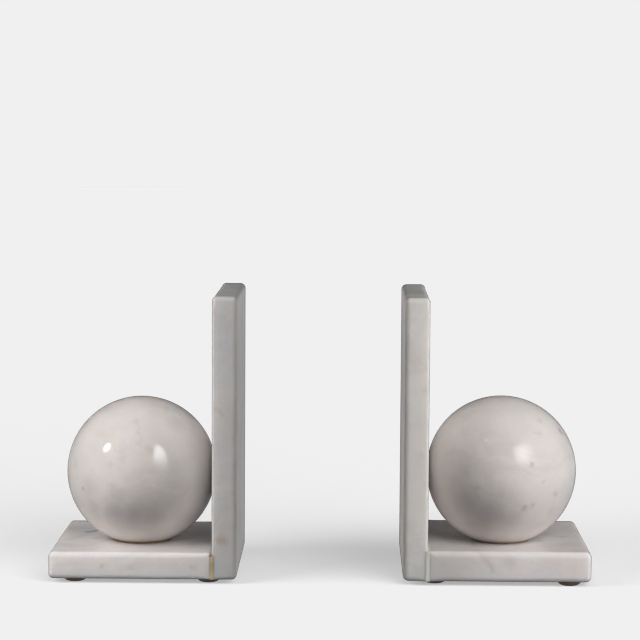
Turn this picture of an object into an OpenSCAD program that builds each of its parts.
// A pair of marble book ends. Each half is an upright slab and a base slab
// glued into an L, with a polished ball bedded on the base against the upright,
// and four low feet stuck under the stone.
// Origin: middle of the pair, on the plane the feet stand on.
// +X runs along the row of books, +Y to the back, +Z up. Millimetres.

/* [Slabs] */
// Depth of every slab, front to back
slab_depth = 100; // [88:1:130]
// Height of the uprights above the underside of the stone
upright_height = 150; // [120:1:200]
// Thickness of the uprights
upright_thickness = 13; // [11:0.5:20]
// Length of the base slabs, outward from the glued seam
base_length = 86; // [84:1:120]
// Thickness of the left base slab
left_base_thickness = 14; // [11:0.5:20]
// Thickness of the right base slab, sawn by hand and so set on its own
right_base_thickness = 16; // [11:0.5:20]

/* [Eased edges] */
// Radius worn onto the outside edges of the left half
left_edge_radius = 2.7; // [1:0.1:3.6]
// Radius worn onto the outside edges of the right half
right_edge_radius = 3.3; // [1:0.1:3.6]
// Radius of the top edges of the uprights
top_edge_radius = 2.8; // [1:0.1:3]
// Radius of the base edges inside the glued seam
seam_edge_radius = 0.6; // [0.3:0.1:0.9]
// Radius of the upright edges that stand beside the seam
seam_upright_radius = 1.2; // [0.6:0.1:1.5]

/* [Balls] */
// Diameter of the balls
ball_diameter = 80.5; // [60:0.5:83]
// How much is ground off under each ball to seat it
ball_flat_depth = 2.8; // [2:0.1:6]
// How far the left ball sits in front of the middle of its slab
left_ball_forward = 7; // [0:0.5:10]
// How far the right ball sits in front of the middle of its slab
right_ball_forward = 10; // [0:0.5:10]

/* [Epoxy] */
// Thickness of the glue between the base and the upright
seam_glue = 0.4; // [0.2:0.1:0.8]
// How far the seam glue stops short of the front and back faces
seam_glue_recess = 0.3; // [0.1:0.1:0.5]
// Thickness of the glue bed under each ball
seat_glue = 0.3; // [0.2:0.1:0.6]
// Width of the glue squeezed out round the ball seat
seat_squeeze = 1.1; // [0.6:0.1:2]
// Thickness of the glue where the ball meets the upright
side_glue = 0.2; // [0.2:0.1:0.6]
// Radius of that dab of glue
side_dab_radius = 6; // [3:0.5:8]

/* [Feet] */
// Diameter of the feet
foot_diameter = 12.7; // [9:0.1:14]
// Height of a foot under its adhesive disc
foot_height = 2.3; // [1.5:0.1:3]
// Diameter of the flat patch each foot stands on
foot_flat_diameter = 6; // [4:0.5:7]
// Height of the straight rim above the dome
foot_rim_height = 0.4; // [0.2:0.1:0.8]
// Thickness of the adhesive disc on each foot
foot_adhesive_thickness = 0.2; // [0.1:0.1:0.4]
// Back face to the back feet centres, and on the left half front face to the front ones
foot_inset_depth = 10; // [8:0.5:20]
// Right half: front face to the front outer foot centre
right_front_outer_foot_depth = 8.5; // [8:0.5:20]
// Right half: front face to the front inner foot centre
right_front_inner_foot_depth = 12.5; // [8:0.5:20]
// Left half: outer end of the base to the outer feet centres
left_outer_foot_inset = 13.3; // [8:0.1:20]
// Left half: book face to the inner feet centres
left_inner_foot_inset = 15.1; // [8:0.1:20]
// Right half: outer end of the base to the outer feet centres
right_outer_foot_inset = 11.1; // [8:0.1:20]
// Right half: book face to the inner feet centres
right_inner_foot_inset = 17.1; // [8:0.1:20]

/* [Placement] */
// Space for the books between the two uprights
book_gap = 88; // [4:1:300]

/* [Hidden] */
$fn = 64;

LEFT = -1;
RIGHT = 1;

bottom_edge_share = 0.8;   // bottom front and back edges, as a share of the edge radius
bottom_end_share = 0.9;    // bottom edge at the outer end of the base, likewise
overcut = 1;               // how far a cutting profile runs past the slab at each end
ball_facets = 240;
seam_glue_top_recess = 0.1;   // seam glue below the top of the base
seat_squeeze_height = 1.5;    // squeezed-out glue above the ground flat of the ball
side_dab_wrap = 1;            // how far the side dab laps round the ball, along X
adhesive_inset = 0.4;         // adhesive disc edge inside the foot edge

stone_z = foot_height + foot_adhesive_thickness;   // underside of the stone
half_length = upright_thickness + seam_glue + base_length;
ball_radius = ball_diameter / 2;
ball_rise = ball_radius - ball_flat_depth;         // ground flat to ball centre
ball_flat_radius = sqrt(ball_radius * ball_radius - ball_rise * ball_rise);
foot_radius = foot_diameter / 2;

marble_white = [0.83, 0.81, 0.79];
marble_cool = [0.80, 0.79, 0.78];
marble_polished = [0.86, 0.84, 0.82];
epoxy_amber = [0.62, 0.49, 0.31];
rubber_brown = [0.22, 0.18, 0.15];
adhesive_grey = [0.55, 0.53, 0.50];

// ---- the two halves ----

function pick(side, left, right) = side == LEFT ? left : right;
function edge_radius(side) = pick(side, left_edge_radius, right_edge_radius);
function base_thickness(side) = pick(side, left_base_thickness, right_base_thickness);
function base_top(side) = stone_z + base_thickness(side);

// One half is drawn with x = 0 on its book face and x growing outward;
// this puts it on its own side of the books.
module half(side) {
    if (side == LEFT) translate([-book_gap / 2, 0, 0]) mirror([1, 0, 0]) children();
    else translate([book_gap / 2, 0, 0]) children();
}

// ---- stone ----

// Rectangle from (x0, y0) to (x1, y1) with its own radius at each corner,
// in the order low-low, high-low, high-high, low-high.
module eased_rectangle(x0, x1, y0, y1, radii) {
    low_low = radii[0];
    high_low = radii[1];
    high_high = radii[2];
    low_high = radii[3];
    polygon([
        [x0 + low_low, y0], [x1 - high_low, y0],
        [x1, y0 + high_low], [x1, y1 - high_high],
        [x1 - high_high, y1], [x0 + low_high, y1],
        [x0, y1 - low_high], [x0, y0 + low_low]
    ]);
    translate([x0 + low_low, y0 + low_low]) circle(low_low);
    translate([x1 - high_low, y0 + high_low]) circle(high_low);
    translate([x1 - high_high, y1 - high_high]) circle(high_high);
    translate([x0 + low_high, y1 - low_high]) circle(low_high);
}

// Sawn slab from x0 to x1 and z0 to z1, centred on y, with eased edges.
// plan, front and side are the corner radii seen along Z, Y and X:
// the three profiles are extruded through each other and their overlap kept.
module eased_slab(x0, x1, z0, z1, plan, front, side) {
    y1 = slab_depth / 2;
    intersection() {
        translate([0, 0, z0])
            linear_extrude(z1 - z0)
            eased_rectangle(x0, x1, -y1, y1, plan);
        translate([0, y1 + overcut, 0]) rotate([90, 0, 0])
            linear_extrude(slab_depth + 2 * overcut)
            eased_rectangle(x0, x1, z0, z1, front);
        translate([x0 - overcut, 0, 0]) rotate([90, 0, 90])
            linear_extrude(x1 - x0 + 2 * overcut)
            eased_rectangle(-y1, y1, z0, z1, side);
    }
}

module base_stone(side) {
    edge = edge_radius(side);
    bottom = edge * bottom_edge_share;
    seam = seam_edge_radius;
    eased_slab(
        x0 = upright_thickness + seam_glue, x1 = half_length,
        z0 = stone_z, z1 = base_top(side),
        plan = [seam, edge, edge, seam],
        front = [seam, edge * bottom_end_share, edge, seam],
        side = [bottom, bottom, edge, edge]);
}

module upright_stone(side) {
    edge = edge_radius(side);
    bottom = edge * bottom_edge_share;
    top = top_edge_radius;
    eased_slab(
        x0 = 0, x1 = upright_thickness,
        z0 = stone_z, z1 = stone_z + upright_height,
        plan = [edge, seam_upright_radius, seam_upright_radius, edge],
        front = [edge, seam_edge_radius, top, top],
        side = [bottom, bottom, top, top]);
}

ball_x = upright_thickness + side_glue + ball_radius;
function ball_y(side) = -pick(side, left_ball_forward, right_ball_forward);
function ball_z(side) = base_top(side) + seat_glue + ball_rise;

// Ball ground flat underneath
module ball_stone(side) {
    translate([ball_x, ball_y(side), ball_z(side)]) difference() {
        sphere(ball_radius, $fn = ball_facets);
        translate([0, 0, -ball_rise - ball_radius])
            cylinder(h = ball_radius, r = ball_radius);
    }
}

// ---- epoxy ----

// Film between the base end and the upright, filling the groove between the eased edges
module seam_epoxy(side) {
    difference() {
        translate([
            upright_thickness - seam_upright_radius,
            -slab_depth / 2 + seam_glue_recess,
            stone_z
        ])
            cube([
                seam_upright_radius + seam_glue + seam_edge_radius,
                slab_depth - 2 * seam_glue_recess,
                base_thickness(side) - seam_glue_top_recess
            ]);
        base_stone(side);
        upright_stone(side);
    }
}

// Bed under the ball, squeezed out in a ring round its seat
module ball_seat_epoxy(side) {
    difference() {
        translate([ball_x, ball_y(side), base_top(side)])
            cylinder(h = seat_glue + seat_squeeze_height, r = ball_flat_radius + seat_squeeze);
        ball_stone(side);
    }
}

// Dab between the ball and the upright
module ball_side_epoxy(side) {
    difference() {
        translate([upright_thickness, ball_y(side), ball_z(side)]) rotate([0, 90, 0])
            cylinder(h = side_glue + side_dab_wrap, r = side_dab_radius);
        ball_stone(side);
    }
}

// ---- feet ----

// Outer feet are measured from the outer end of the base, inner ones from the book face
function foot_x(side, outer) =
    outer ? half_length - pick(side, left_outer_foot_inset, right_outer_foot_inset)
    : pick(side, left_inner_foot_inset, right_inner_foot_inset);

function front_foot_depth(side, outer) =
    pick(side, foot_inset_depth,
        outer ? right_front_outer_foot_depth : right_front_inner_foot_depth);

function foot_y(side, outer, back) =
    back ? slab_depth / 2 - foot_inset_depth
    : front_foot_depth(side, outer) - slab_depth / 2;

// Low domed foot with a short straight rim and a flat patch underneath
module foot() {
    flat_radius = foot_flat_diameter / 2;
    dome_width = foot_radius - flat_radius;
    dome_height = foot_height - foot_rim_height;
    // Arc that leaves the flat patch level and meets the foot of the rim
    arc_radius = (dome_width * dome_width + dome_height * dome_height) / (2 * dome_height);
    rotate_extrude() {
        square([flat_radius, foot_height]);
        intersection() {
            translate([flat_radius, arc_radius]) circle(arc_radius);
            square([foot_radius, foot_height]);
        }
    }
}

module placed_foot(side, outer, back) {
    half(side) translate([foot_x(side, outer), foot_y(side, outer, back), 0]) foot();
}

// The four adhesive discs of one half
module adhesive_discs(side) {
    half(side) for (outer = [false, true], back = [false, true])
        translate([foot_x(side, outer), foot_y(side, outer, back), foot_height])
            cylinder(h = foot_adhesive_thickness, r = foot_radius - adhesive_inset);
}

// ---- left half ----

module left_base_slab() color(marble_white) half(LEFT) base_stone(LEFT);
module left_upright_slab() color(marble_cool) half(LEFT) upright_stone(LEFT);
module left_ball() color(marble_polished) half(LEFT) ball_stone(LEFT);
module left_seam_epoxy() color(epoxy_amber) half(LEFT) seam_epoxy(LEFT);
module left_ball_seat_epoxy() color(epoxy_amber) half(LEFT) ball_seat_epoxy(LEFT);
module left_ball_side_epoxy() color(epoxy_amber) half(LEFT) ball_side_epoxy(LEFT);
module left_foot_front_outer() color(rubber_brown) placed_foot(LEFT, outer = true, back = false);
module left_foot_front_inner() color(rubber_brown) placed_foot(LEFT, outer = false, back = false);
module left_foot_back_outer() color(rubber_brown) placed_foot(LEFT, outer = true, back = true);
module left_foot_back_inner() color(rubber_brown) placed_foot(LEFT, outer = false, back = true);
module left_foot_adhesive() color(adhesive_grey) adhesive_discs(LEFT);

// ---- right half ----

module right_base_slab() color(marble_white) half(RIGHT) base_stone(RIGHT);
module right_upright_slab() color(marble_cool) half(RIGHT) upright_stone(RIGHT);
module right_ball() color(marble_polished) half(RIGHT) ball_stone(RIGHT);
module right_seam_epoxy() color(epoxy_amber) half(RIGHT) seam_epoxy(RIGHT);
module right_ball_seat_epoxy() color(epoxy_amber) half(RIGHT) ball_seat_epoxy(RIGHT);
module right_ball_side_epoxy() color(epoxy_amber) half(RIGHT) ball_side_epoxy(RIGHT);
module right_foot_front_outer() color(rubber_brown) placed_foot(RIGHT, outer = true, back = false);
module right_foot_front_inner() color(rubber_brown) placed_foot(RIGHT, outer = false, back = false);
module right_foot_back_outer() color(rubber_brown) placed_foot(RIGHT, outer = true, back = true);
module right_foot_back_inner() color(rubber_brown) placed_foot(RIGHT, outer = false, back = true);
module right_foot_adhesive() color(adhesive_grey) adhesive_discs(RIGHT);

left_base_slab();
left_upright_slab();
left_ball();
left_seam_epoxy();
left_ball_seat_epoxy();
left_ball_side_epoxy();
left_foot_front_outer();
left_foot_front_inner();
left_foot_back_outer();
left_foot_back_inner();
left_foot_adhesive();
right_base_slab();
right_upright_slab();
right_ball();
right_seam_epoxy();
right_ball_seat_epoxy();
right_ball_side_epoxy();
right_foot_front_outer();
right_foot_front_inner();
right_foot_back_outer();
right_foot_back_inner();
right_foot_adhesive();
